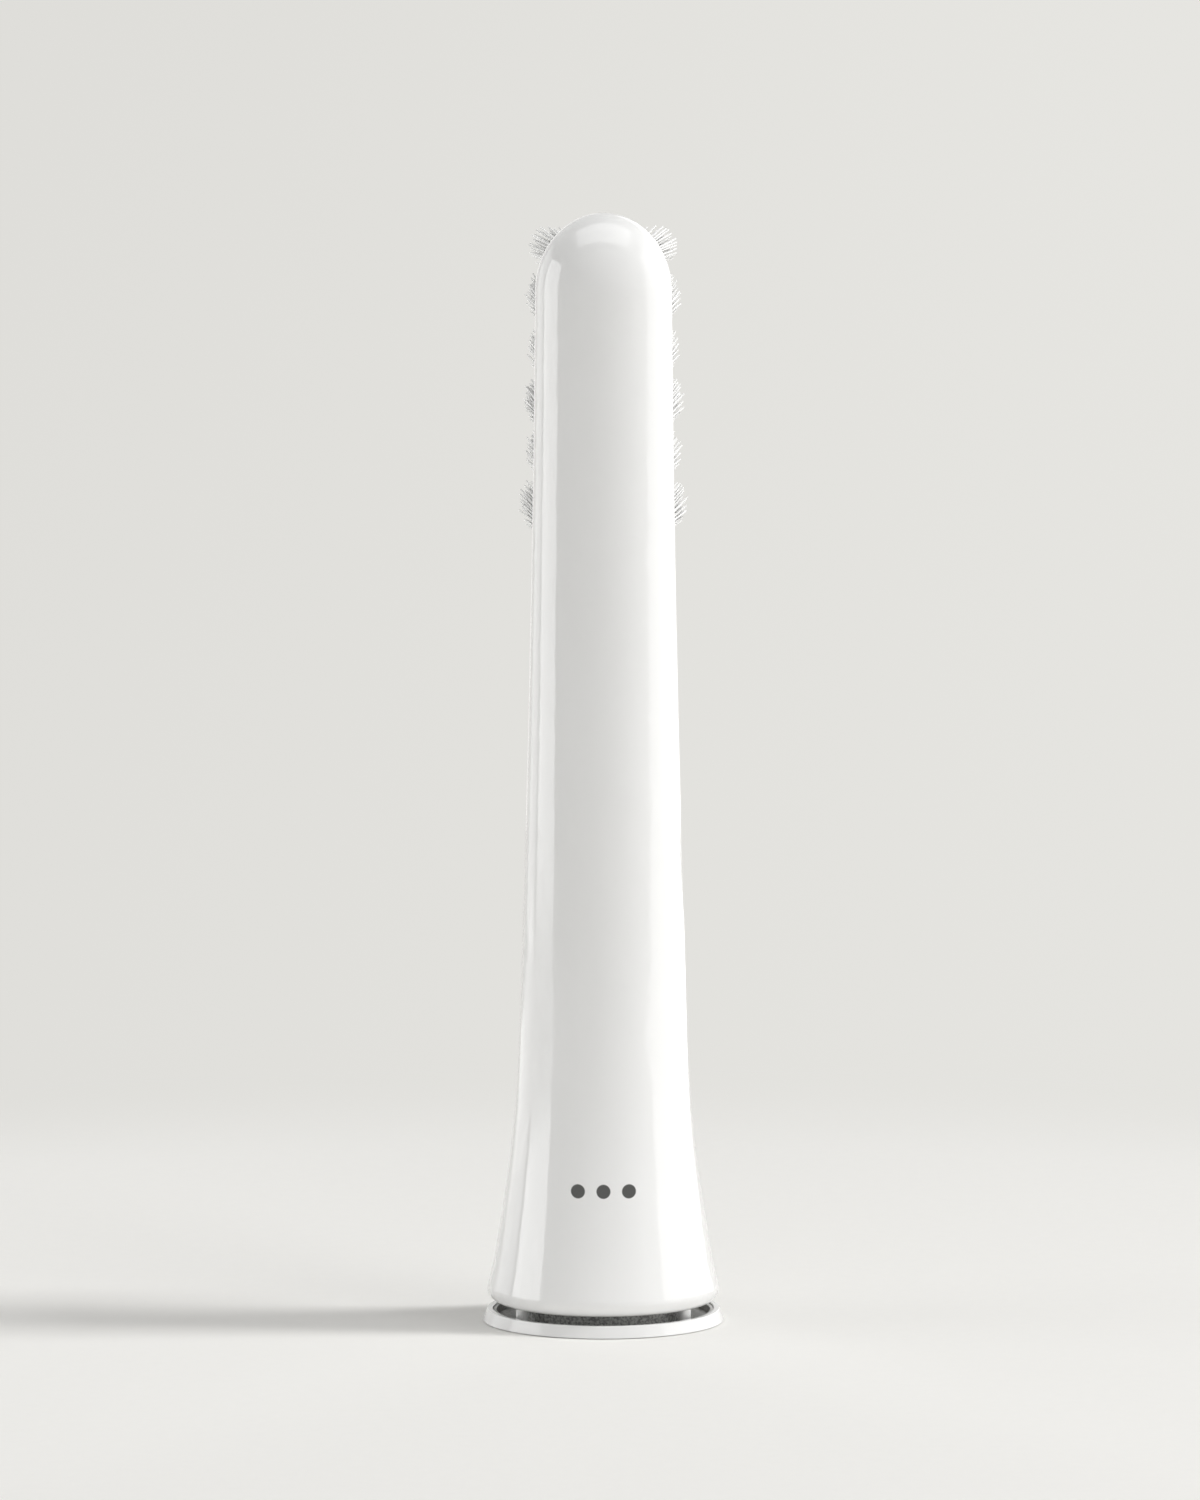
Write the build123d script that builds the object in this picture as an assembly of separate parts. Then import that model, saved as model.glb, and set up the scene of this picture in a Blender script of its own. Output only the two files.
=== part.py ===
from build123d import *
import math
import os

# Push-on head for a sonic toothbrush, in millimetres.
# Z runs up the drive shaft's axis from the plane that the base ring stands on.
# The smooth back of the brush faces -Y and the bristles point along +Y.

# Clearances between pieces that nest in each other
FIT = 0.03
PEG_PLAY = 0.06

# White body: foot, neck and head
BODY_FOOT_Z = 1.5
BODY_FOOT_ROUND = 1.0
BODY_STATIONS = 14
HEAD_TOP_Z = 87.7
DOME_HEIGHT = 6.2
HEAD_HALF_WIDTH = 5.35
HEAD_HALF_DEPTH = 3.9
HEAD_SET_BACK = 1.0
NECK_GAIN = 2.2
NECK_LINEAR_SHARE = 0.28
FLARE_TOP_Z = 21.0
FOOT_SET_IN = 0.06

# Flat front of the head and the ramp out to the neck
FACE_Y = -0.3
FACE_FOOT_MARGIN = 1.1
FACE_EDGE_ROUND = 0.5
RAMP_RADIUS = 10.0
RAMP_ANGLE = 40.0
SHOULDER_RADIUS = 8.0
SHOULDER_ANGLE = 12.0

# Plate that carries the bristles
PLATE_MARGIN = 0.9
PLATE_TOP_MARGIN = 1.25
PLATE_FOOT_MARGIN = 2.4
PLATE_FOOT_ROUND = 2.0
PLATE_THICKNESS = 1.6
LEDGE_WIDTH = 0.25

# Bristle tufts: roots, then tips
TUFT_RADIUS = 0.9
TUFT_HEAD_SPREAD = 0.12
TUFT_HEAD_THICKNESS = 0.4
TUFT_EDGE_GAP = 0.05
OUTER_PITCH = 4.1
OUTER_TOP_DROP = 3.2
INNER_X = 1.22
INNER_LIFT = 2.8
CORNER_ANGLE = 40.0
HEEL_DROP = 1.0
OUTER_TIP_HALF_WIDTH = 0.95
OUTER_TIP_HALF_HEIGHT = 1.85
OUTER_TIP_Y = 9.3
OUTER_TIP_RISE = 1.5
OUTER_REACH = 6.2
OUTER_REACH_SHARES = (1.0, 0.98, 1.04, 1.01, 1.09)
CORNER_TIP_RADIUS = 1.7
CORNER_REACH = 6.1
CORNER_RISE = 0.15
INNER_TIP_RADIUS = 1.33
INNER_TIP_SPREAD = 0.2
INNER_TIP_Y = 8.6

# Base ring
RING_RADIUS = 9.5
RING_SLANT = 0.34
RING_LIP = 0.46
RING_HEIGHT = 0.92
RING_EDGE_ROUND = 0.08

# Dark coupling: dish, hub and shaft socket
DISH_LIFT = 0.05
DISH_FLOOR = 0.2
DISH_WALL = 0.25
DISH_RIM_DROP = 0.12
GROOVE_WIDTH = 0.12
GROOVE_DEPTH = 0.1
HUB_RADIUS = 6.5
HUB_WALL = 0.9
HUB_TOP_Z = 9.0
WEB_THICKNESS = 1.2
SOCKET_RADIUS = 3.4
SOCKET_FOOT_Z = 2.0
SOCKET_TOP_Z = 23.5
SOCKET_CROWN = 1.8
RIB_COUNT = 4
RIB_THICKNESS = 0.9
RIB_FOOT_Z = 3.2

# Pegs of the body that stand in holes of the dish and take the drive
PEG_RADIUS = 0.5
PEG_CIRCLE_RADIUS = 7.7
PEG_ANGLE = 33.8
PEG_END_Z = 0.12

# Drive shaft seat: a chamfered round lead-in, then a stretch with a flat
SHAFT_BORE_RADIUS = 2.15
SHAFT_BORE_LENGTH = 6.0
SHAFT_CHAMFER = 0.4
DRIVE_STEP = 0.2
DRIVE_FLAT_DEPTH = 0.5

# Steel leaf that grips the shaft
CLIP_RISE = 3.0
CLIP_LENGTH = 7.0
CLIP_WIDTH = 2.0
CLIP_THICKNESS = 0.25
CLIP_GRIP = 0.15
CLIP_PLAY = 0.15

# Places that follow from the sizes above
DOME_Z = HEAD_TOP_Z - DOME_HEIGHT
FLARE_GAIN = RING_RADIUS - FOOT_SET_IN - NECK_GAIN - HEAD_HALF_WIDTH
PLATE_HALF_WIDTH = HEAD_HALF_WIDTH - PLATE_MARGIN
PLATE_TOP_Z = HEAD_TOP_Z - PLATE_TOP_MARGIN
PLATE_ROUND_Z = PLATE_TOP_Z - PLATE_HALF_WIDTH
PLATE_BACK_Y = FACE_Y - PLATE_THICKNESS
TUFT_HEAD_RADIUS = TUFT_RADIUS + TUFT_HEAD_SPREAD
POCKET_FLOOR_Y = PLATE_BACK_Y - TUFT_HEAD_THICKNESS - FIT
OUTER_X = PLATE_HALF_WIDTH - LEDGE_WIDTH - TUFT_EDGE_GAP - TUFT_HEAD_RADIUS
OUTER_TOP_Z = PLATE_ROUND_Z - OUTER_TOP_DROP
OUTER_FOOT_Z = OUTER_TOP_Z - (len(OUTER_REACH_SHARES) - 1) * OUTER_PITCH
PLATE_FOOT_Z = OUTER_FOOT_Z - PLATE_FOOT_MARGIN
FACE_FOOT_Z = PLATE_FOOT_Z - FACE_FOOT_MARGIN
RING_TOP_RADIUS = RING_RADIUS - RING_SLANT
RING_INNER_RADIUS = RING_TOP_RADIUS - RING_LIP
DISH_RADIUS = RING_INNER_RADIUS - FIT
DISH_FLOOR_Z = DISH_LIFT + DISH_FLOOR
DISH_RIM_Z = RING_HEIGHT - DISH_RIM_DROP
HUB_INNER_RADIUS = HUB_RADIUS - HUB_WALL
DRIVE_RADIUS = SHAFT_BORE_RADIUS - DRIVE_STEP
DRIVE_FLAT_Y = DRIVE_FLAT_DEPTH - DRIVE_RADIUS
DRIVE_FOOT_Z = SOCKET_FOOT_Z + SHAFT_CHAMFER + SHAFT_BORE_LENGTH
DRIVE_TOP_Z = SOCKET_TOP_Z - SOCKET_CROWN
CLIP_FOOT_Z = DRIVE_FOOT_Z + CLIP_RISE
CLIP_BACK_Y = math.sqrt(SOCKET_RADIUS**2 - (CLIP_WIDTH / 2) ** 2)


def body_half_width(z):
    """Half width of the body at height z: a gentle taper with a flare at its foot."""
    run = (DOME_Z - z) / (DOME_Z - BODY_FOOT_Z)
    taper = NECK_LINEAR_SHARE * run + (1 - NECK_LINEAR_SHARE) * run**2
    flare = max(0.0, (FLARE_TOP_Z - z) / (FLARE_TOP_Z - BODY_FOOT_Z))
    return HEAD_HALF_WIDTH + NECK_GAIN * taper + FLARE_GAIN * flare**2


def body_section(z):
    """Ellipse of the body at height z: round at the foot, flatter and set back at the head."""
    run = (DOME_Z - z) / (DOME_Z - BODY_FOOT_Z)
    share = 1 - run**2
    half_width = body_half_width(z)
    flatness = 1 - share * (1 - HEAD_HALF_DEPTH / HEAD_HALF_WIDTH)
    return Pos(0, -HEAD_SET_BACK * share, z) * Ellipse(half_width, half_width * flatness)


def tube(inner, outer, low, high):
    """Round tube about Z, or a rod where the inner radius is nought."""
    corner = (Align.MIN, Align.MIN)
    section = Plane.XZ * Pos(inner, low) * Rectangle(outer - inner, high - low, align=corner)
    return revolve(section, Axis.Z)


def rod_along_y(radius, x, z, back_y, front_y):
    """Round rod along Y between two depths."""
    section = Plane.XZ.offset(-front_y) * Pos(x, z) * Circle(radius)
    return extrude(section, front_y - back_y)


def plate_outline(inset):
    """Outline of the tuft plate in the XZ plane: straight sides, round top, rounded foot corners."""
    half = PLATE_HALF_WIDTH - inset
    foot = PLATE_FOOT_Z + inset
    straight = Rectangle(2 * half, PLATE_ROUND_Z - foot, align=(Align.CENTER, Align.MIN))
    straight = fillet(straight.vertices().group_by(Axis.Y)[0], PLATE_FOOT_ROUND - inset)
    return Pos(0, foot) * straight + Pos(0, PLATE_ROUND_Z) * Circle(half)


def plate_block(inset, back_y, front_y):
    """The plate outline as a block between two depths."""
    return extrude(Plane.XZ.offset(-front_y) * plate_outline(inset), front_y - back_y)


def face_cutter():
    """What is cut away in front of the head: flat down the face, then an S-curve out to the neck."""
    clear_y = FACE_Y + 2 * RING_RADIUS
    clear_z = HEAD_TOP_Z + RAMP_RADIUS
    with BuildSketch(Plane.YZ) as section:
        with BuildLine():
            face = Line((FACE_Y, clear_z), (FACE_Y, FACE_FOOT_Z))
            ramp = JernArc(face @ 1, face % 1, RAMP_RADIUS, RAMP_ANGLE)
            shoulder = JernArc(ramp @ 1, ramp % 1, SHOULDER_RADIUS, SHOULDER_ANGLE - RAMP_ANGLE)
            heading = shoulder % 1
            run_out = PolarLine(shoulder @ 1, (clear_y - (shoulder @ 1).X) / heading.X, direction=heading)
            Polyline(run_out @ 1, (clear_y, clear_z), face @ 0)
        make_face()
    return extrude(section.sketch, 2 * RING_RADIUS, both=True)


def face_rim(body):
    """Edges round the flat face and its S-curve, without the smooth lines where those meet."""
    cut_kinds = (GeomType.PLANE, GeomType.CYLINDER)
    cut_faces = [face for face in body.faces().sort_by(Axis.Z)[1:] if face.geom_type in cut_kinds]
    edges = [edge for face in cut_faces for edge in face.edges()]
    return [edge for edge in edges if sum(edge.is_same(other) for other in edges) == 1]


def pegs(radius, low, high):
    """Four upright pegs round the hub, one in each quarter."""
    peg = Pos(PEG_CIRCLE_RADIUS, 0, 0) * tube(0, radius, low, high)
    angles = (PEG_ANGLE, 180 - PEG_ANGLE, 180 + PEG_ANGLE, -PEG_ANGLE)
    return [Rot(0, 0, angle) * peg for angle in angles]


def brush_body():
    """White moulding: lofted skirt, neck and head with a domed top, open at the foot and the face."""
    step = (DOME_Z - BODY_FOOT_Z) / (BODY_STATIONS - 1)
    body = loft([body_section(BODY_FOOT_Z + step * i) for i in range(BODY_STATIONS)])
    dome = scale(Sphere(1), by=(HEAD_HALF_WIDTH, HEAD_HALF_DEPTH, DOME_HEIGHT))
    dome = split(dome, Plane.XY, keep=Keep.TOP)
    body += Pos(0, -HEAD_SET_BACK, DOME_Z) * dome
    body = fillet(body.edges().group_by(Axis.Z)[0], BODY_FOOT_ROUND)
    body -= face_cutter()
    body = fillet(face_rim(body), FACE_EDGE_ROUND)
    body -= plate_block(-FIT, PLATE_BACK_Y, FACE_Y + PLATE_THICKNESS)
    body -= plate_block(LEDGE_WIDTH, POCKET_FLOOR_Y, FACE_Y)
    body -= tube(0, HUB_RADIUS + FIT, 0, HUB_TOP_Z)
    body -= tube(0, SOCKET_RADIUS + FIT, 0, SOCKET_TOP_Z + FIT)
    return body + pegs(PEG_RADIUS, PEG_END_Z, BODY_FOOT_Z + BODY_FOOT_ROUND)


def outer_tufts(side, sign):
    """Edge tufts of one side: a corner tuft on the round top, then a straight column."""
    angle = math.radians(CORNER_ANGLE)
    root = (sign * OUTER_X * math.cos(angle), PLATE_ROUND_Z + OUTER_X * math.sin(angle))
    tip = (sign * (CORNER_REACH - CORNER_TIP_RADIUS), OUTER_TIP_Y, root[1] + CORNER_RISE)
    places = {f"tuft_outer_{side}_1": (root, tip, Circle(CORNER_TIP_RADIUS))}
    spread = Ellipse(OUTER_TIP_HALF_WIDTH, OUTER_TIP_HALF_HEIGHT)
    for row, share in enumerate(OUTER_REACH_SHARES):
        root = (sign * OUTER_X, OUTER_TOP_Z - row * OUTER_PITCH)
        tip_x = OUTER_REACH * share - OUTER_TIP_HALF_WIDTH
        tip = (sign * tip_x, OUTER_TIP_Y, root[1] + OUTER_TIP_RISE)
        places[f"tuft_outer_{side}_{row + 2}"] = (root, tip, spread)
    return places


def inner_tufts(side, sign):
    """Inner column of one side, set between the rows of the outer one."""
    places = {}
    for row in range(len(OUTER_REACH_SHARES)):
        root = (sign * INNER_X, OUTER_TOP_Z + INNER_LIFT - row * OUTER_PITCH)
        tip = (sign * (INNER_X + INNER_TIP_SPREAD), INNER_TIP_Y, root[1])
        places[f"tuft_inner_{side}_{row + 1}"] = (root, tip, Circle(INNER_TIP_RADIUS))
    return places


def tuft_places():
    """Every tuft by name: root (x, z), tip (x, y, z) and the outline of its tip."""
    places = {}
    for side, sign in (("left", -1), ("right", 1)):
        places |= outer_tufts(side, sign)
        places |= inner_tufts(side, sign)
    for name, z in (("tuft_tip", PLATE_ROUND_Z + OUTER_X), ("tuft_heel", OUTER_FOOT_Z - HEEL_DROP)):
        places[name] = ((0, z), (0, INNER_TIP_Y, z), Circle(INNER_TIP_RADIUS))
    return places


def tuft_plate(places):
    """Plate let into the head's face, with a hole for every tuft."""
    plate = plate_block(0, PLATE_BACK_Y, FACE_Y)
    holes = [
        rod_along_y(TUFT_RADIUS + FIT, x, z, PLATE_BACK_Y - FIT, FACE_Y + FIT)
        for (x, z), tip, spread in places.values()
    ]
    return plate - holes


def tuft(root, tip, spread):
    """Bundle of bristles: fused head behind the plate, shank in its hole, and the fan to the tips."""
    x, z = root
    tip_x, tip_y, tip_z = tip
    head = rod_along_y(TUFT_HEAD_RADIUS, x, z, PLATE_BACK_Y - TUFT_HEAD_THICKNESS, PLATE_BACK_Y)
    shank = rod_along_y(TUFT_RADIUS, x, z, PLATE_BACK_Y, FACE_Y)
    fan = loft(
        [
            Plane.XZ.offset(-FACE_Y) * Pos(x, z) * Circle(TUFT_RADIUS),
            Plane.XZ.offset(-tip_y) * Pos(tip_x, tip_z) * spread,
        ]
    )
    return head + shank + fan


def base_ring():
    """White foot ring with a slanted outer wall and softened top edges."""
    outline = [
        (RING_INNER_RADIUS, 0),
        (RING_RADIUS, 0),
        (RING_TOP_RADIUS, RING_HEIGHT),
        (RING_INNER_RADIUS, RING_HEIGHT),
    ]
    section = make_face(Polyline(*outline, close=True))
    section = fillet(section.vertices().group_by(Axis.Y)[-1], RING_EDGE_ROUND)
    return revolve(Plane.XZ * section, Axis.Z)


def socket_bore():
    """Hole for the drive shaft: chamfered round lead-in, then a stretch with a flat towards the back."""
    mouth_radius = SHAFT_BORE_RADIUS + SHAFT_CHAMFER
    lead_in = tube(0, SHAFT_BORE_RADIUS, SOCKET_FOOT_Z, DRIVE_FOOT_Z)
    lead_in += Pos(0, 0, SOCKET_FOOT_Z) * Cone(
        mouth_radius, SHAFT_BORE_RADIUS, SHAFT_CHAMFER, align=(Align.CENTER, Align.CENTER, Align.MIN)
    )
    drive = tube(0, DRIVE_RADIUS, DRIVE_FOOT_Z - FIT, DRIVE_TOP_Z)
    flat = Box(
        3 * DRIVE_RADIUS,
        DRIVE_RADIUS,
        3 * SOCKET_TOP_Z,
        align=(Align.CENTER, Align.MAX, Align.CENTER),
    )
    return lead_in + (drive - Pos(0, DRIVE_FLAT_Y, 0) * flat)


def ribs():
    """Ribs under the web, from the socket out to the hub wall."""
    size = (HUB_RADIUS - HUB_WALL / 2, RIB_THICKNESS, HUB_TOP_Z - RIB_FOOT_Z)
    rib = Pos(0, 0, RIB_FOOT_Z) * Box(*size, align=(Align.MIN, Align.CENTER, Align.MIN))
    return [Rot(0, 0, 360 / RIB_COUNT * (i + 0.5)) * rib for i in range(RIB_COUNT)]


def clip_window():
    """Window in the socket wall on the bristle side, where the clip stands."""
    size = (CLIP_WIDTH + 2 * CLIP_PLAY, SOCKET_RADIUS, CLIP_LENGTH + 2 * CLIP_PLAY)
    window = Box(*size, align=(Align.CENTER, Align.MIN, Align.MIN))
    return Pos(0, 0, CLIP_FOOT_Z - CLIP_PLAY) * window


def coupling():
    """Dark moulding: dish inside the ring, hub, web, ribs and the socket for the drive shaft."""
    dish = tube(HUB_INNER_RADIUS, DISH_RADIUS, DISH_LIFT, DISH_FLOOR_Z)
    wall_radius = DISH_RADIUS - DISH_WALL
    dish += tube(wall_radius, DISH_RADIUS, DISH_LIFT, DISH_RIM_Z)
    dish -= tube(wall_radius - GROOVE_WIDTH, wall_radius, DISH_FLOOR_Z - GROOVE_DEPTH, DISH_FLOOR_Z)
    dish -= pegs(PEG_RADIUS + PEG_PLAY, 0, DISH_FLOOR_Z)
    moulding = dish + tube(HUB_INNER_RADIUS, HUB_RADIUS, DISH_LIFT, HUB_TOP_Z)
    moulding += tube(0, HUB_RADIUS, HUB_TOP_Z - WEB_THICKNESS, HUB_TOP_Z)
    moulding += tube(0, SOCKET_RADIUS, SOCKET_FOOT_Z, SOCKET_TOP_Z)
    moulding += ribs()
    return moulding - socket_bore() - clip_window()


def shaft_clip():
    """Steel leaf, bowed in towards the shaft, standing in the window of the socket."""
    end_y = CLIP_BACK_Y - CLIP_THICKNESS
    rest = [
        (end_y, CLIP_FOOT_Z),
        (DRIVE_RADIUS - CLIP_GRIP, CLIP_FOOT_Z + CLIP_LENGTH / 2),
        (end_y, CLIP_FOOT_Z + CLIP_LENGTH),
    ]
    front = ThreePointArc(*rest)
    back = Pos(CLIP_THICKNESS, 0) * front
    section = make_face([front, back, Line(front @ 0, back @ 0), Line(front @ 1, back @ 1)])
    return extrude(Plane.YZ * section, CLIP_WIDTH / 2, both=True)


def main():
    """Build every piece and write one file for each."""
    places = tuft_places()
    pieces = {
        "brush_body": brush_body(),
        "tuft_plate": tuft_plate(places),
        "base_ring": base_ring(),
        "coupling": coupling(),
        "shaft_clip": shaft_clip(),
    }
    for name, place in places.items():
        pieces[name] = tuft(*place)
    os.makedirs("parts", exist_ok=True)
    for name, piece in pieces.items():
        export_step(piece, f"parts/{name}.step")


if __name__ == "__main__":
    main()
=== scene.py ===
import logging
import math
import random
from collections.abc import Callable
from dataclasses import dataclass, field
from enum import Enum
from typing import Any, Protocol

import bmesh
import bpy
from mathutils import Euler, Matrix, Quaternion, Vector


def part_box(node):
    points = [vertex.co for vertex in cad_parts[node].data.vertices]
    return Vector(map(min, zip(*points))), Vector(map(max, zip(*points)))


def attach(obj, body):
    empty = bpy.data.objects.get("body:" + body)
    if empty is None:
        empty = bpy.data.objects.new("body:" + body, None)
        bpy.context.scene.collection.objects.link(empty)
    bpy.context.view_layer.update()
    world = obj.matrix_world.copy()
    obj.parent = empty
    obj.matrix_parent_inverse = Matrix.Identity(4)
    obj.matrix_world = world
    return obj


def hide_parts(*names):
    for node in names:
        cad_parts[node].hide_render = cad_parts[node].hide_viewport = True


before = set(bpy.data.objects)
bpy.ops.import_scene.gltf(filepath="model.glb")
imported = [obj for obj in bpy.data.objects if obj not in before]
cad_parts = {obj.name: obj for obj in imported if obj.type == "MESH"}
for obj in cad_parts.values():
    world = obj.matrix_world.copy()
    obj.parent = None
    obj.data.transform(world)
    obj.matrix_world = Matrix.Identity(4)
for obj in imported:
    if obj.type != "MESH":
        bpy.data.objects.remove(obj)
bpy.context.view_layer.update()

LOG = logging.getLogger("brush_head")
MM = 0.001
BODY = "root"

Triple = tuple[float, float, float]
Colour = Triple
Span = tuple[float, float]
Piece = bpy.types.Object
Socket = bpy.types.NodeSocket

UNIT: Span = (0.0, 1.0)
# Most values of a noise pattern lie in this span.
NOISE_SPAN: Span = (0.3, 0.7)
# The Mix node names its sockets alike for every data type, so those for colours are told by number.
MIX_FIRST, MIX_SECOND, MIX_RESULT = 6, 7, 2
# A face counts as facing along an axis when its normal has this much of it.
FACING = 0.9
# Turn from one strand to the next that fills a round section evenly.
GOLDEN_ANGLE = math.pi * (3 - math.sqrt(5))
# Middles of the low and the tall lamps that stand on the floor.
LOW_MIDDLE = 95.5 * MM
TALL_MIDDLE = 145.5 * MM


class LampRole(Enum):
    """What a lamp does for the object."""

    BOTH = "lights it and shows in polished pieces"
    LIGHT = "only lights it"
    REFLECTION = "only shows in polished pieces"


class Finish(Protocol):
    """Anything that makes a material."""

    def material(self) -> bpy.types.Material:
        """Make the material."""


def seen_directly(tree: bpy.types.NodeTree) -> Socket:
    """Tell the rays that show a background from those that only light the object.

    Args:
        tree: Node tree of a material or of the surround.

    Returns:
        1 for camera, glossy and transmission rays, and 0 for the rest.
    """
    rays = tree.nodes.new("ShaderNodeLightPath")
    seen = rays.outputs["Is Camera Ray"]
    for name in ("Is Glossy Ray", "Is Transmission Ray"):
        either = tree.nodes.new("ShaderNodeMath")
        either.operation = "MAXIMUM"
        tree.links.new(seen, either.inputs[0])
        tree.links.new(rays.outputs[name], either.inputs[1])
        seen = either.outputs[0]
    return seen


class Recipe:
    """Nodes of one finish: a Principled shader, and short calls that add to it."""

    def __init__(self, name: str) -> None:
        """Start a new material.

        Args:
            name: Name of the material.
        """
        self.material: bpy.types.Material = bpy.data.materials.new(name)
        self.material.use_nodes = True
        self.tree: bpy.types.NodeTree = self.material.node_tree
        self.shader: bpy.types.Node = self.tree.nodes["Principled BSDF"]
        self.place: Socket = self.add("ShaderNodeTexCoord").outputs["Object"]

    def add(self, kind: str) -> bpy.types.Node:
        """Add a node of one kind."""
        return self.tree.nodes.new(kind)

    def feed(self, value: Any, socket: Socket) -> None:
        """Link a node's socket to an output, or set it to a constant.

        Args:
            value: An output or a constant.
            socket: Socket to feed.
        """
        if isinstance(value, Socket):
            self.tree.links.new(value, socket)
        else:
            socket.default_value = value

    def set(self, **values: Any) -> None:
        """Set constant sockets of the shader.

        Args:
            values: Socket names with underscores for spaces, and their values.
        """
        for name, value in values.items():
            self.shader.inputs[name.replace("_", " ")].default_value = value

    def link(self, source: Socket, name: str) -> None:
        """Feed a socket of the shader, told by its name, from a node's output."""
        self.tree.links.new(source, self.shader.inputs[name])

    def math(self, operation: str, first: Socket | float, second: Socket | float = 0.0) -> Socket:
        """Add a Math node.

        Args:
            operation: Blender's name of the operation.
            first: An output or a number.
            second: An output or a number.

        Returns:
            The node's output.
        """
        node = self.add("ShaderNodeMath")
        node.operation = operation
        self.feed(first, node.inputs[0])
        self.feed(second, node.inputs[1])
        return node.outputs[0]

    def axes(self) -> tuple[Socket, Socket, Socket]:
        """Take the object coordinates apart.

        Returns:
            X, Y and Z.
        """
        node = self.add("ShaderNodeSeparateXYZ")
        self.feed(self.place, node.inputs["Vector"])
        return node.outputs["X"], node.outputs["Y"], node.outputs["Z"]

    def stretch(self, scale: Triple) -> Socket:
        """Scale the object coordinates on each axis.

        Args:
            scale: Factors on X, Y and Z.

        Returns:
            The scaled coordinates.
        """
        node = self.add("ShaderNodeMapping")
        self.feed(scale, node.inputs["Scale"])
        self.feed(self.place, node.inputs["Vector"])
        return node.outputs["Vector"]

    def length(self, place: Socket) -> Socket:
        """Measure how far a place is from the origin.

        Args:
            place: Coordinates.

        Returns:
            The distance.
        """
        node = self.add("ShaderNodeVectorMath")
        node.operation = "LENGTH"
        self.feed(place, node.inputs[0])
        return node.outputs["Value"]

    def noise(self, scale: float, detail: float = 2.0, place: Socket | None = None) -> Socket:
        """Add a noise pattern.

        Args:
            scale: Waves per metre.
            detail: Number of finer layers.
            place: Coordinates, or None for the object's own.

        Returns:
            The pattern's value, from 0 to 1.
        """
        node = self.add("ShaderNodeTexNoise")
        self.feed(scale, node.inputs["Scale"])
        self.feed(detail, node.inputs["Detail"])
        self.feed(place or self.place, node.inputs["Vector"])
        return node.outputs["Fac"]

    def attribute(self, name: str) -> Socket:
        """Read a value that is written on the mesh.

        Args:
            name: Name of the mesh's attribute.

        Returns:
            The value.
        """
        node = self.add("ShaderNodeAttribute")
        node.attribute_name = name
        return node.outputs["Fac"]

    def spread(self, value: Socket, source: Span, target: Span) -> Socket:
        """Map a value smoothly from one range to another, held at its ends.

        Args:
            value: Value to map.
            source: Range that it comes from.
            target: Range that it goes to.

        Returns:
            The mapped value.
        """
        node = self.add("ShaderNodeMapRange")
        node.interpolation_type = "SMOOTHSTEP"
        self.feed(value, node.inputs["Value"])
        names = ("From Min", "From Max", "To Min", "To Max")
        for name, number in zip(names, (*source, *target)):
            self.feed(number, node.inputs[name])
        return node.outputs["Result"]

    def blend(self, share: Socket, first: Socket | Colour, second: Socket | Colour) -> Socket:
        """Mix two colours.

        Args:
            share: Share of the second colour.
            first: An output or a colour.
            second: An output or a colour.

        Returns:
            The mixed colour.
        """
        node = self.add("ShaderNodeMix")
        node.data_type = "RGBA"
        self.feed(share, node.inputs["Factor"])
        for number, paint in ((MIX_FIRST, first), (MIX_SECOND, second)):
            self.feed(paint if isinstance(paint, Socket) else (*paint, 1.0), node.inputs[number])
        return node.outputs[MIX_RESULT]

    def bump(self, height: Socket, depth: float) -> None:
        """Give the surface a relief.

        Args:
            height: Pattern of the relief, from 0 to 1.
            depth: Depth of the relief in metres.
        """
        node = self.add("ShaderNodeBump")
        self.feed(depth, node.inputs["Distance"])
        self.feed(height, node.inputs["Height"])
        self.link(node.outputs["Normal"], "Normal")


@dataclass(frozen=True)
class PrintedDots:
    """Row of plain dots printed on the back of the skirt."""

    count: int = 3
    pitch: float = 2.0 * MM
    radius: float = 0.55 * MM
    height: float = 11.3 * MM
    edge: float = 0.04 * MM
    colour: Colour = (0.052, 0.052, 0.050)

    def dot(self, recipe: Recipe, across: Socket, rise: Socket, index: int) -> Socket:
        """Add the nodes of one dot.

        Args:
            recipe: Finish that carries the print.
            across: Place along the row.
            rise: Square of the height above the row.
            index: Number of the dot.

        Returns:
            1 on the dot and 0 elsewhere.
        """
        middle = (index - (self.count - 1) / 2) * self.pitch
        run = recipe.math("SUBTRACT", across, middle)
        run = recipe.math("MULTIPLY", run, run)
        far = recipe.math("SQRT", recipe.math("ADD", run, rise))
        return recipe.spread(far, (self.radius - self.edge, self.radius + self.edge), (1.0, 0.0))

    def mask(self, recipe: Recipe) -> Socket:
        """Add the nodes that tell where the print is.

        Args:
            recipe: Finish that carries the print.

        Returns:
            1 on the dots and 0 elsewhere.
        """
        across, depth, up = recipe.axes()
        rise = recipe.math("SUBTRACT", up, self.height)
        rise = recipe.math("MULTIPLY", rise, rise)
        dots = self.dot(recipe, across, rise, 0)
        for index in range(1, self.count):
            dots = recipe.math("MAXIMUM", dots, self.dot(recipe, across, rise, index))
        back = recipe.math("LESS_THAN", depth, 0.0)
        return recipe.math("MULTIPLY", dots, back)


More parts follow.
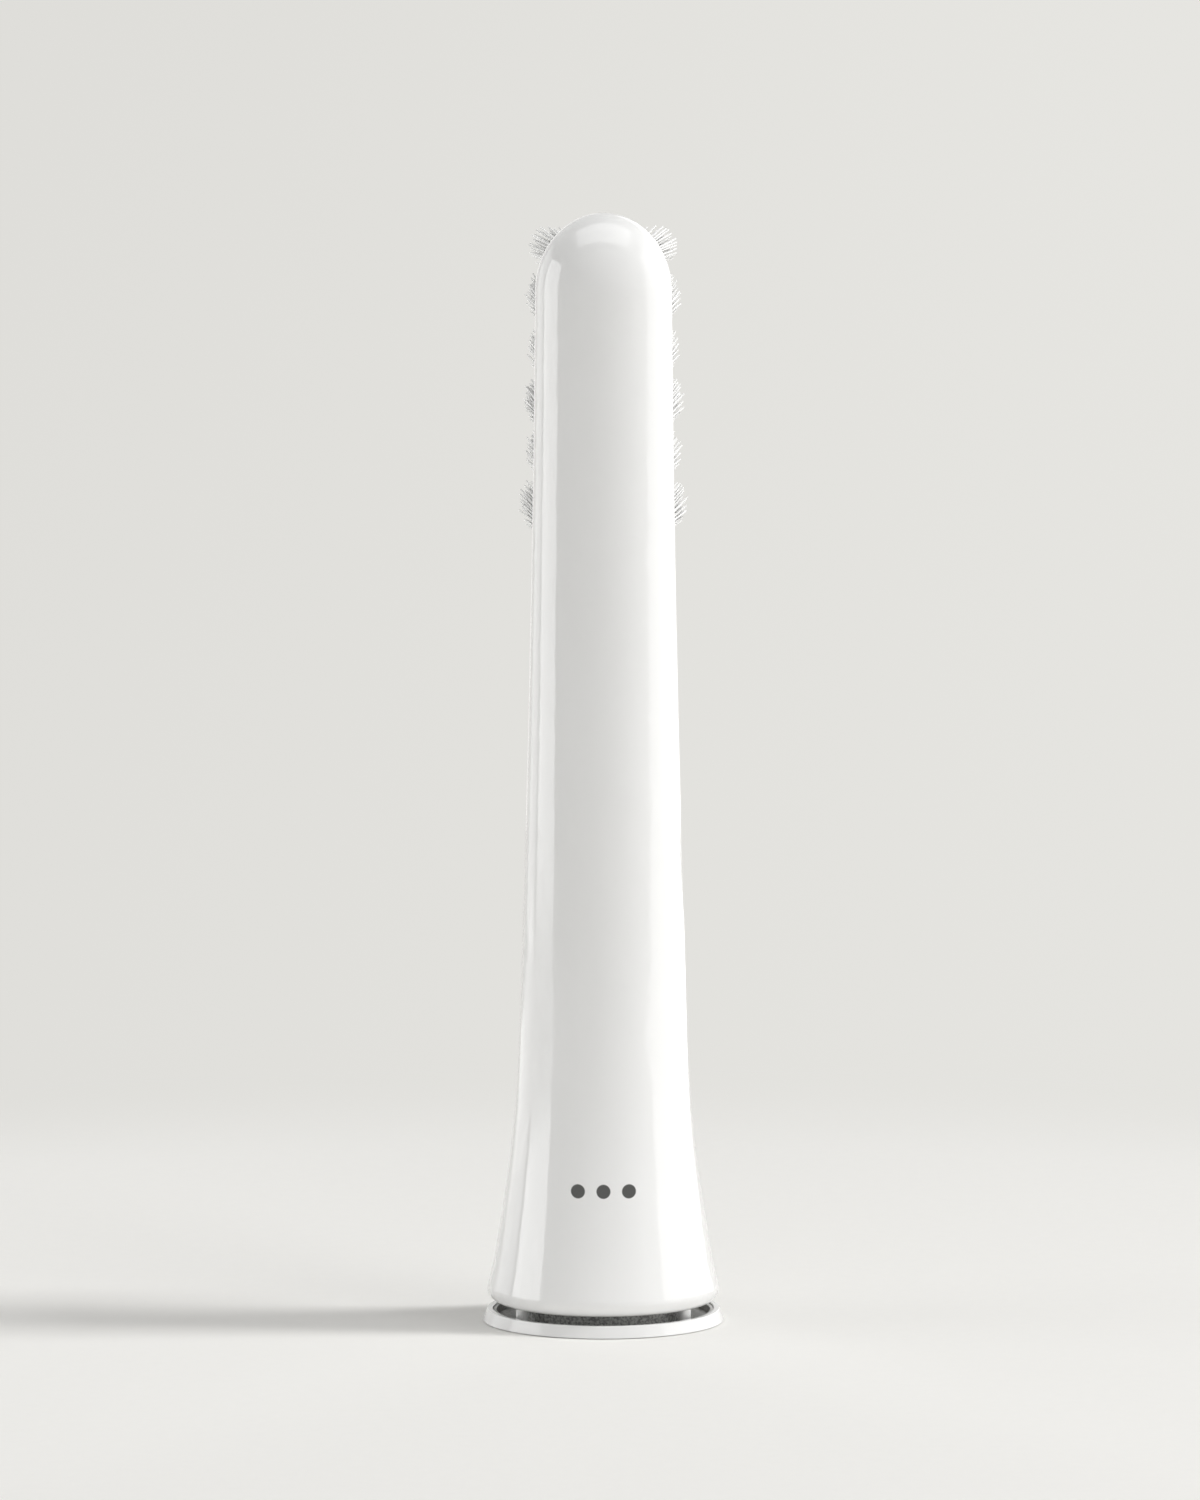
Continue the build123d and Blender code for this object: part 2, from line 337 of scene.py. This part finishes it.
@dataclass(frozen=True)
class PolishedMoulding:
    """White plastic from a polished mould, with a clear skin over a softer core."""

    name: str
    colour: Colour = (0.86, 0.86, 0.855)
    shade: Colour = (0.84, 0.839, 0.832)
    roughness: Span = (0.10, 0.14)
    ior: float = 1.5
    skin: float = 1.0
    skin_roughness: float = 0.02
    ripple_waves: float = 60.0
    grain_waves: float = 2600.0
    grain_depth: float = 0.0001 * MM
    mark: PrintedDots | None = None

    def material(self) -> bpy.types.Material:
        """Make the material.

        Returns:
            The new material.
        """
        recipe = Recipe(self.name)
        recipe.set(Coat_Weight=self.skin, Coat_Roughness=self.skin_roughness, IOR=self.ior)
        colour = recipe.blend(recipe.noise(self.ripple_waves), self.colour, self.shade)
        if self.mark is not None:
            colour = recipe.blend(self.mark.mask(recipe), colour, self.mark.colour)
        recipe.link(colour, "Base Color")
        grain = recipe.noise(self.grain_waves)
        recipe.link(recipe.spread(grain, NOISE_SPAN, self.roughness), "Roughness")
        recipe.bump(grain, self.grain_depth)
        return recipe.material


@dataclass(frozen=True)
class GrainedMoulding:
    """Grey plastic with the speckled grain of an eroded mould, painted darker at its hub as painted
    shade under the body and painted lighter in its dish as painted light.
    """

    name: str
    # Speckle colours of one grey plastic: darker at the hub as painted shade, lighter in the dish as
    # painted light.
    shaded_hub_speckle_light: Colour = (0.50, 0.50, 0.486)
    shaded_hub_speckle_dark: Colour = (0.20, 0.20, 0.194)
    lit_dish_speckle_light: Colour = (0.70, 0.70, 0.68)
    lit_dish_speckle_dark: Colour = (0.45, 0.45, 0.437)
    shade_to_light_radii: Span = (6.6 * MM, 6.8 * MM)
    from_axis: Triple = (1.0, 1.0, 0.0)
    roughness: Span = (0.42, 0.62)
    speckle_span: Span = (0.35, 0.65)
    grain_waves: float = 5200.0
    grain_detail: float = 3.0
    grain_depth: float = 0.02 * MM

    def material(self) -> bpy.types.Material:
        """Make the material.

        Returns:
            The new material.
        """
        recipe = Recipe(self.name)
        grain = recipe.noise(self.grain_waves, self.grain_detail)
        speckle = recipe.spread(grain, self.speckle_span, UNIT)
        # Painted shade at the hub, painted light in the dish, blended by distance from the axis.
        hub = recipe.blend(speckle, self.shaded_hub_speckle_dark, self.shaded_hub_speckle_light)
        dish = recipe.blend(speckle, self.lit_dish_speckle_dark, self.lit_dish_speckle_light)
        radius = recipe.length(recipe.stretch(self.from_axis))
        painted_light_share = recipe.spread(radius, self.shade_to_light_radii, UNIT)
        recipe.link(recipe.blend(painted_light_share, hub, dish), "Base Color")
        recipe.link(recipe.spread(grain, NOISE_SPAN, self.roughness), "Roughness")
        recipe.bump(grain, self.grain_depth)
        return recipe.material


@dataclass(frozen=True)
class RolledSteel:
    """Spring steel with rolling marks along its length."""

    name: str
    light: Colour = (0.66, 0.65, 0.63)
    dark: Colour = (0.50, 0.49, 0.48)
    roughness: Span = (0.22, 0.40)
    across_waves: float = 9000.0
    along_waves: float = 250.0
    mark_depth: float = 0.002 * MM

    def material(self) -> bpy.types.Material:
        """Make the material.

        Returns:
            The new material.
        """
        recipe = Recipe(self.name)
        recipe.set(Metallic=1.0)
        along = recipe.stretch((self.across_waves, self.across_waves, self.along_waves))
        marks = recipe.noise(1.0, place=along)
        recipe.link(recipe.blend(marks, self.dark, self.light), "Base Color")
        recipe.link(recipe.spread(marks, NOISE_SPAN, self.roughness), "Roughness")
        recipe.bump(marks, self.mark_depth)
        return recipe.material


@dataclass(frozen=True)
class MilkyNylon:
    """Milky nylon, lighter or darker from one strand to the next, partly at random and partly as
    painted shade on the inner strands of each tuft.
    """

    name: str
    shade_and_tone: str = "strand_shade_and_tone"
    light: Colour = (0.97, 0.97, 0.96)
    dark: Colour = (0.56, 0.56, 0.55)
    roughness: Span = (0.28, 0.42)
    glow: float = 0.4
    glow_depth: float = 0.25 * MM
    glow_reach: Triple = (1.0, 1.0, 1.0)

    def material(self) -> bpy.types.Material:
        """Make the material.

        Returns:
            The new material.
        """
        recipe = Recipe(self.name)
        recipe.set(
            Subsurface_Weight=self.glow,
            Subsurface_Scale=self.glow_depth,
            Subsurface_Radius=self.glow_reach,
        )
        shade_and_tone = recipe.attribute(self.shade_and_tone)
        recipe.link(recipe.blend(shade_and_tone, self.dark, self.light), "Base Color")
        recipe.link(recipe.spread(shade_and_tone, UNIT, self.roughness), "Roughness")
        return recipe.material

    def tint_and_shade(self, strand: Piece, share: float) -> None:
        """Write a strand's lightness on its mesh: random, with painted shade on inner strands.

        Args:
            strand: The strand.
            share: Its lightness, from 0 for dark to 1 for light; low for inner strands, as painted
                shade.
        """
        layer = strand.data.attributes.new(self.shade_and_tone, "FLOAT", "POINT")
        layer.data.foreach_set("value", [share] * len(strand.data.vertices))


@dataclass(frozen=True)
class PaperSweep:
    """Pale matte paper: lit round the object, and further out a pale backdrop for the camera and
    reflections, painted darker at the left and lighter at the right as painted light falling from the
    right.
    """

    name: str
    paper: Colour = (0.87, 0.862, 0.835)
    # Backdrop colours: darker at the left and lighter at the right, as painted light falling from the
    # right.
    shaded_backdrop_left: Colour = (0.738, 0.730, 0.701)
    lit_backdrop_right: Colour = (0.791, 0.784, 0.753)
    painted_falloff_width: float = 0.2
    near_radius: float = 85 * MM
    far_radius: float = 130 * MM
    roughness: float = 0.9
    specular: float = 0.1
    grain_waves: float = 900.0
    grain_shade: Colour = (0.85, 0.842, 0.815)

    def material(self) -> bpy.types.Material:
        """Make the material.

        Returns:
            The new material.
        """
        recipe = Recipe(self.name)
        recipe.set(Roughness=self.roughness, Specular_IOR_Level=self.specular)
        grain = recipe.noise(self.grain_waves)
        recipe.link(recipe.blend(grain, self.paper, self.grain_shade), "Base Color")
        half = self.painted_falloff_width / 2
        # Painted light across the backdrop, from its left to its right.
        across = recipe.spread(recipe.axes()[0], (-half, half), UNIT)
        glow = recipe.add("ShaderNodeEmission")
        recipe.feed(recipe.blend(across, self.shaded_backdrop_left, self.lit_backdrop_right), glow.inputs["Color"])
        radius = recipe.length(recipe.place)
        far = recipe.spread(radius, (self.near_radius, self.far_radius), UNIT)
        both = recipe.add("ShaderNodeMixShader")
        recipe.feed(recipe.math("MULTIPLY", far, seen_directly(recipe.tree)), both.inputs[0])
        recipe.feed(recipe.shader.outputs["BSDF"], both.inputs[1])
        recipe.feed(glow.outputs["Emission"], both.inputs[2])
        recipe.feed(both.outputs["Shader"], recipe.tree.nodes["Material Output"].inputs["Surface"])
        return recipe.material


def deselect_all() -> None:
    """Leave no object selected."""
    bpy.ops.object.select_all(action="DESELECT")


def select_faces(piece: Piece, test: Callable[[bmesh.types.BMFace], bool]) -> None:
    """Select faces of the piece that is open in edit mode.

    Args:
        piece: Piece in edit mode.
        test: Tells whether a face is wanted.
    """
    bpy.ops.mesh.select_mode(type="FACE")
    shape = bmesh.from_edit_mesh(piece.data)
    for face in shape.faces:
        face.select_set(test(face))
    shape.select_flush_mode()
    bmesh.update_edit_mesh(piece.data)


def select_ring(piece: Piece, height: float, reach: float) -> None:
    """Select the corners of the piece that lie near one height along Z.

    Args:
        piece: Piece in edit mode.
        height: Height of the ring.
        reach: Furthest that a corner may be from that height.
    """
    bpy.ops.mesh.select_mode(type="VERT")
    shape = bmesh.from_edit_mesh(piece.data)
    for corner in shape.verts:
        corner.select_set(abs(corner.co.z - height) < reach)
    shape.select_flush_mode()
    bmesh.update_edit_mesh(piece.data)


def dress(piece: Piece, material: bpy.types.Material) -> None:
    """Put a material on a piece, in place of what it has.

    Args:
        piece: Piece to dress.
        material: Its new material.
    """
    if not piece.material_slots:
        piece.data.materials.append(material)
    for slot in piece.material_slots:
        slot.material = material


def dress_nodes(finishes: dict[str, Finish]) -> list[Piece]:
    """Dress CAD nodes, each in a finish of its own.

    Args:
        finishes: The nodes' names and their finishes.

    Returns:
        The dressed nodes.
    """
    for node, finish in finishes.items():
        dress(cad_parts[node], finish.material())
    return [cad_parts[node] for node in finishes]


@dataclass
class Oval:
    """Flat round or oval section of a tuft, square to Y."""

    middle: Vector
    half_width: float
    half_height: float

    @classmethod
    def of_node(cls, node: str, depth: float, reach: float = 0.002 * MM) -> "Oval":
        """Read the section that a tuft's solid has at one depth.

        Args:
            node: Name of the tuft's node.
            depth: Where the section lies along Y.
            reach: Furthest that a corner may be from that depth.

        Returns:
            The section.
        """
        corners = [v.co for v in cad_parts[node].data.vertices if abs(v.co.y - depth) < reach]
        low = Vector(map(min, *corners))
        high = Vector(map(max, *corners))
        return cls((low + high) / 2, (high.x - low.x) / 2, (high.z - low.z) / 2)

    def spot(self, index: int, count: int, margin: float) -> Vector:
        """Place one strand on a spiral that fills the section evenly.

        Args:
            index: Number of the strand.
            count: Number of strands in the section.
            margin: Width kept free at the rim.

        Returns:
            The place.
        """
        turn = index * GOLDEN_ANGLE
        reach = math.sqrt((index + 0.5) / count)
        across = (self.half_width - margin) * reach * math.cos(turn)
        up = (self.half_height - margin) * reach * math.sin(turn)
        return self.middle + Vector((across, 0, up))


@dataclass
class Strand:
    """One nylon bristle with a rounded end, modelled along Z."""

    radius: float = 0.07 * MM
    length: float = 10.0 * MM
    sides: int = 6
    joints: int = 3
    bow: float = 0.015 * MM
    end_round: float = 0.05 * MM

    def bend(self, share: float) -> float:
        """Tell how far the strand bows aside at a share of its length, most at its middle."""
        return 4 * self.bow * share * (1 - share)

    def build(self) -> Piece:
        """Model the strand.

        Returns:
            The strand, from the origin up.
        """
        deselect_all()
        bpy.ops.mesh.primitive_cylinder_add(
            vertices=self.sides,
            radius=self.radius,
            depth=self.length,
            location=(0, 0, self.length / 2),
        )
        bpy.ops.object.transform_apply(location=True)
        strand = bpy.context.object
        strand.name = "strand"
        bpy.ops.object.mode_set(mode="EDIT")
        for joint in range(1, self.joints + 1):
            share = joint / (self.joints + 1)
            height = self.length * share
            bpy.ops.mesh.select_all(action="SELECT")
            bpy.ops.mesh.bisect(plane_co=(0, 0, height), plane_no=(0, 0, 1))
            select_ring(strand, height, self.radius)
            bpy.ops.transform.translate(value=(self.bend(share), 0, 0))
        select_faces(strand, lambda face: face.normal.z > FACING)
        bpy.ops.mesh.bevel(offset=self.end_round, segments=1, affect="EDGES")
        bpy.ops.object.mode_set(mode="OBJECT")
        return strand


@dataclass
class Tuft:
    """One bundle of strands: fused head, plug in the plate's hole, and the fan of strands."""

    node: str
    master: Piece
    strand: Strand
    finish: MilkyNylon
    seed: int
    count: int = 84
    plug_sides: int = 24
    plug_sink: float = 0.08 * MM
    head_round: float = 0.08 * MM
    root_depth: float = 0.4 * MM
    end_spread: float = 0.7 * MM
    end_slant: float = 0.4 * MM
    tip_jitter: float = 0.03 * MM
    outer_share: float = 0.5
    outer_stray: float = 0.13
    # Outer strands take light values and inner strands dark ones: painted shade inside the tuft, random
    # within each span.
    outer_tones: Span = (0.6, 1.0)
    shaded_inner_tones: Span = (0.0, 0.5)
    smooth_angle: float = math.radians(65)
    face: float = field(init=False)
    head: Oval = field(init=False)
    root: Oval = field(init=False)
    tip: Oval = field(init=False)
    dice: random.Random = field(init=False)

    def __post_init__(self) -> None:
        """Read the tuft's head, root and tip from its solid."""
        low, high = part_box(self.node)
        self.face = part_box("tuft_plate")[1].y
        self.head = Oval.of_node(self.node, low.y)
        self.root = Oval.of_node(self.node, self.face)
        self.tip = Oval.of_node(self.node, high.y)
        self.dice = random.Random(self.seed)

    def build_plug(self) -> Piece:
        """Model the fused head behind the plate and the plug that fills its hole.

        Returns:
            The plug.
        """
        plate_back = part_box("tuft_plate")[0].y
        thickness = plate_back - self.head.middle.y
        deselect_all()
        bpy.ops.mesh.primitive_cylinder_add(
            vertices=self.plug_sides,
            radius=self.head.half_width,
            depth=thickness,
            location=self.head.middle + Vector((0, thickness / 2, 0)),
            rotation=(math.pi / 2, 0, 0),
        )
        bpy.ops.object.transform_apply(location=True, rotation=True)
        plug = bpy.context.object
        plug.name = self.node.replace("tuft", "bristles")
        bpy.ops.object.mode_set(mode="EDIT")
        select_faces(plug, lambda face: face.normal.y > FACING)
        bpy.ops.mesh.inset(thickness=self.head.half_width - self.root.half_width)
        rise = self.face - self.plug_sink - plate_back
        bpy.ops.mesh.extrude_region_move(TRANSFORM_OT_translate={"value": (0, rise, 0)})
        select_faces(plug, lambda face: face.normal.y < -FACING)
        bpy.ops.mesh.bevel(offset=self.head_round, segments=2, affect="EDGES")
        bpy.ops.object.mode_set(mode="OBJECT")
        return plug

    def lay_strand(self, index: int) -> Piece:
        """Copy the strand to its place in the fan, with an end, a lightness and a turn of its own;
        inner strands get painted shade, darker than the outer ones.

        Args:
            index: Number of the strand in the tuft, counted from its middle outwards.

        Returns:
            The copy.
        """
        start = self.root.spot(index, self.count, self.strand.radius)
        end = self.tip.spot(index, self.count, self.strand.radius)
        outer = index >= self.count * (1 - self.outer_share)
        if outer:
            end += (end - self.tip.middle) * self.dice.uniform(0.0, self.outer_stray)
        end += Vector((self.dice.uniform(-1, 1), 0, self.dice.uniform(-1, 1))) * self.tip_jitter
        way = (end - start).normalized()
        start -= way * self.root_depth
        lift = max(0.0, (end.z - self.tip.middle.z) / self.tip.half_height)
        end -= way * (self.dice.uniform(0.0, self.end_spread) + self.end_slant * lift)
        copy = self.master.copy()
        copy.data = self.master.data.copy()
        bpy.context.collection.objects.link(copy)
        # Painted shade: inner strands are darker than outer ones.
        tones_with_shade = self.outer_tones if outer else self.shaded_inner_tones
        self.finish.tint_and_shade(copy, self.dice.uniform(*tones_with_shade))
        spin = Quaternion((0, 0, 1), self.dice.uniform(0, math.tau))
        lean = (way.to_track_quat("Z", "Y") @ spin).to_matrix().to_4x4()
        stretch = Matrix.Diagonal((1, 1, (end - start).length / self.strand.length, 1))
        copy.matrix_world = Matrix.Translation(start) @ lean @ stretch
        return copy

    def build(self, material: bpy.types.Material) -> Piece:
        """Model the tuft as one piece and put it in its node's place.

        Args:
            material: Finish of the strands.

        Returns:
            The finished tuft.
        """
        plug = self.build_plug()
        strands = [self.lay_strand(index) for index in range(self.count)]
        deselect_all()
        for piece in (*strands, plug):
            piece.select_set(True)
        bpy.context.view_layer.objects.active = plug
        bpy.ops.object.join()
        bpy.ops.object.shade_smooth_by_angle(angle=self.smooth_angle)
        dress(plug, material)
        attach(plug, BODY)
        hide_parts(self.node)
        return plug


@dataclass
class BristleField:
    """All the tufts of the head."""

    strand: Strand = field(default_factory=Strand)
    finish: MilkyNylon = MilkyNylon("milky_nylon")
    seed: int = 40

    def build(self) -> list[Piece]:
        """Model every tuft that the frame has.

        Returns:
            The tufts.
        """
        material = self.finish.material()
        master = self.strand.build()
        nodes = [name for name in sorted(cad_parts) if name.startswith("tuft_")]
        nodes.remove("tuft_plate")
        tufts = []
        for number, node in enumerate(nodes):
            tuft = Tuft(node, master, self.strand, self.finish, self.seed + number)
            tufts.append(tuft.build(material))
        bpy.data.objects.remove(master)
        return tufts


@dataclass
class WhiteMouldings:
    """Body, tuft plate and base ring, in white plastic."""

    body: PolishedMoulding = PolishedMoulding("polished_white", mark=PrintedDots())
    plate: PolishedMoulding = PolishedMoulding(
        "satin_white", roughness=(0.32, 0.42), skin=0.3, skin_roughness=0.2
    )
    ring: PolishedMoulding = PolishedMoulding("ring_white", skin=0.5, skin_roughness=0.1)

    def build(self) -> list[Piece]:
        """Dress the white nodes."""
        return dress_nodes(
            {"brush_body": self.body, "tuft_plate": self.plate, "base_ring": self.ring}
        )


@dataclass
class ShaftCoupling:
    """Dark coupling and the steel clip inside it."""

    moulding: GrainedMoulding = GrainedMoulding("grained_dark")
    clip: RolledSteel = RolledSteel("rolled_steel")

    def build(self) -> list[Piece]:
        """Dress the coupling and its clip."""
        return dress_nodes({"coupling": self.moulding, "shaft_clip": self.clip})


def looking(way: Vector) -> Euler:
    """Find the turn that points a lamp or a camera along a direction."""
    return way.to_track_quat("-Z", "Y").to_euler()


def hang_lamp(
    name: str, place: Vector, turn: Euler, size: Span, brightness: float, role: LampRole
) -> Piece:
    """Add a flat rectangular lamp that the camera doesn't see.

    Args:
        name: Name of the lamp.
        place: Its middle.
        turn: Its turn from facing straight down.
        size: Its width and height.
        brightness: Brightness of its face, where 1 is white.
        role: What it does for the object.

    Returns:
        The lamp.
    """
    deselect_all()
    bpy.ops.object.light_add(type="AREA", location=place, rotation=turn)
    lamp = bpy.context.object
    lamp.name = name
    lamp.data.shape = "RECTANGLE"
    lamp.data.size, lamp.data.size_y = size
    lamp.data.energy = brightness * math.pi * size[0] * size[1]
    lamp.visible_camera = False
    lamp.visible_glossy = role is not LampRole.LIGHT
    lamp.visible_diffuse = role is not LampRole.REFLECTION
    return lamp


@dataclass
class Softbox:
    """Studio lamp that faces the object, with angles in degrees; it may be dimmer at its foot."""

    name: str
    azimuth: float
    elevation: float
    distance: float
    width: float
    height: float
    brightness: float
    aim_height: float = 45 * MM
    role: LampRole = LampRole.BOTH
    foot_level: float = 1.0
    foot_share: float = 0.08

    def fade_foot(self, lamp: Piece) -> None:
        """Dim the lamp towards its lower edge.

        Args:
            lamp: The lamp.
        """
        lamp.data.use_nodes = True
        nodes, links = lamp.data.node_tree.nodes, lamp.data.node_tree.links
        place = nodes.new("ShaderNodeNewGeometry")
        split = nodes.new("ShaderNodeSeparateXYZ")
        links.new(place.outputs["Parametric"], split.inputs["Vector"])
        level = nodes.new("ShaderNodeMapRange")
        level.interpolation_type = "SMOOTHSTEP"
        level.inputs["From Max"].default_value = self.foot_share
        level.inputs["To Min"].default_value = self.foot_level
        links.new(split.outputs["Y"], level.inputs["Value"])
        links.new(level.outputs["Result"], nodes["Emission"].inputs["Strength"])

    def build(self) -> Piece:
        """Hang the lamp.

        Returns:
            The lamp.
        """
        turn = math.radians(self.azimuth)
        rise = math.radians(self.elevation)
        out = math.cos(rise)
        way = Vector((math.sin(turn) * out, -math.cos(turn) * out, math.sin(rise)))
        place = Vector((0, 0, self.aim_height)) + way * self.distance
        size = (self.width, self.height)
        lamp = hang_lamp(self.name, place, looking(-way), size, self.brightness, self.role)
        if self.foot_level < 1:
            self.fade_foot(lamp)
        return lamp


@dataclass
class FloorCard:
    """Bright card that lies on the floor and faces up, reaching out along one azimuth."""

    name: str
    azimuth: float
    near: float
    far: float
    width: float
    brightness: float
    role: LampRole = LampRole.REFLECTION
    lift: float = 1.0 * MM

    def build(self) -> Piece:
        """Lay the card.

        Returns:
            The card.
        """
        turn = math.radians(self.azimuth)
        reach = (self.near + self.far) / 2
        place = Vector((math.sin(turn) * reach, -math.cos(turn) * reach, self.lift))
        size = (self.width, self.far - self.near)
        face_up = Euler((math.pi, 0, turn))
        return hang_lamp(self.name, place, face_up, size, self.brightness, self.role)


@dataclass
class Studio:
    """Floor, lamps, surroundings and camera.

    The floor lies a hair under the base ring, which leaves a thin dark line where the ring stands.
    """

    floor_size: float = 8.0
    floor_drop: float = 0.06 * MM
    paper: PaperSweep = PaperSweep("pale_paper")
    # Azimuth, elevation, distance, width, height and brightness of each lamp.
    lamps: tuple[Softbox, ...] = (
        Softbox("left_softbox", -84, 0, 0.26, 0.169, 0.19, 1.9, LOW_MIDDLE, foot_level=0.32),
        Softbox("left_panel", -121, 0, 0.26, 0.13, 0.19, 0.6, LOW_MIDDLE),
        Softbox("left_fill", -116, 10, 0.60, 0.50, 0.20, 1.5, role=LampRole.LIGHT),
        Softbox("front_fill", 8, 6, 0.90, 0.80, 0.24, 0.85, role=LampRole.LIGHT),
        Softbox("rear_left_card", -166, 0, 0.30, 0.125, 0.19, 0.2, LOW_MIDDLE, LampRole.REFLECTION),
        Softbox("rear_right_card", 152, 0, 0.30, 0.20, 0.29, 0.5, TALL_MIDDLE, LampRole.REFLECTION),
        Softbox("rear_fill", 180, 22, 0.90, 0.90, 0.30, 1.7, role=LampRole.LIGHT),
        Softbox("right_panel", 100, 0, 0.27, 0.42, 0.29, 0.5, TALL_MIDDLE),
        Softbox("right_card", 100, 0, 0.28, 0.435, 0.29, 0.55, TALL_MIDDLE, LampRole.REFLECTION),
        Softbox("right_front", 52, 12, 0.50, 0.32, 0.30, 2.85, role=LampRole.LIGHT),
        Softbox("right_key", 90, 57, 1.20, 0.15, 0.44, 32.0, role=LampRole.LIGHT),
        Softbox("top_softbox", 0, 77, 0.555, 0.72, 0.41, 1.1),
    )
    # Azimuth, near edge, far edge, width and brightness of each card.
    cards: tuple[FloorCard, ...] = (
        FloorCard("left_floor_card", -92, 0.09, 0.27, 0.28, 0.6),
        FloorCard("foot_card", 0, 10.5 * MM, 30 * MM, 60 * MM, 0.22, LampRole.LIGHT),
        FloorCard("right_floor_card", 100, 0.09, 0.27, 0.42, 1.0),
    )
    ambient: float = 0.08
    surround: Colour = (0.76, 0.755, 0.735)
    camera_distance: float = 1.2
    camera_height: float = 203 * MM
    camera_shift: float = -0.27 * MM
    aim_height: float = 45.25 * MM
    lens: float = 369.9
    sensor: float = 36.0

    def build_floor(self) -> Piece:
        """Lay the floor.

        Returns:
            The floor.
        """
        deselect_all()
        bpy.ops.mesh.primitive_plane_add(size=self.floor_size, location=(0, 0, -self.floor_drop))
        bpy.ops.object.transform_apply(location=True)
        floor = bpy.context.object
        floor.name = "paper_floor"
        dress(floor, self.paper.material())
        return floor

    def build_surround(self) -> None:
        """Set a pale surround that shows at full strength and lights the object only a little."""
        world = bpy.data.worlds.new("pale_room")
        world.use_nodes = True
        nodes, links = world.node_tree.nodes, world.node_tree.links
        level = nodes.new("ShaderNodeMapRange")
        level.inputs["To Min"].default_value = self.ambient
        links.new(seen_directly(world.node_tree), level.inputs["Value"])
        glow = nodes["Background"]
        glow.inputs["Color"].default_value = (*self.surround, 1.0)
        links.new(level.outputs["Result"], glow.inputs["Strength"])
        bpy.context.scene.world = world

    def build_camera(self) -> Piece:
        """Set the camera up at the photograph's angle.

        Returns:
            The camera.
        """
        place = Vector((self.camera_shift, -self.camera_distance, self.camera_height))
        aim = Vector((self.camera_shift, 0, self.aim_height))
        deselect_all()
        bpy.ops.object.camera_add(location=place, rotation=looking(aim - place))
        camera = bpy.context.object
        camera.name = "photo_camera"
        camera.data.lens = self.lens
        camera.data.sensor_width = self.sensor
        bpy.context.scene.camera = camera
        return camera

    def build(self) -> list[Piece]:
        """Set up the whole studio.

        Returns:
            Floor, lamps and camera.
        """
        self.build_surround()
        bpy.context.scene.view_settings.view_transform = "Standard"
        lights = [light.build() for light in (*self.lamps, *self.cards)]
        return [self.build_floor(), *lights, self.build_camera()]


def main() -> None:
    """Build every sub-assembly in order and report its pieces."""
    logging.basicConfig(level=logging.INFO, format="%(name)s: %(message)s")
    for assembly in (WhiteMouldings(), ShaftCoupling(), BristleField(), Studio()):
        for piece in assembly.build():
            LOG.info("%s made %s", type(assembly).__name__, piece.name)


if __name__ == "__main__":
    main()
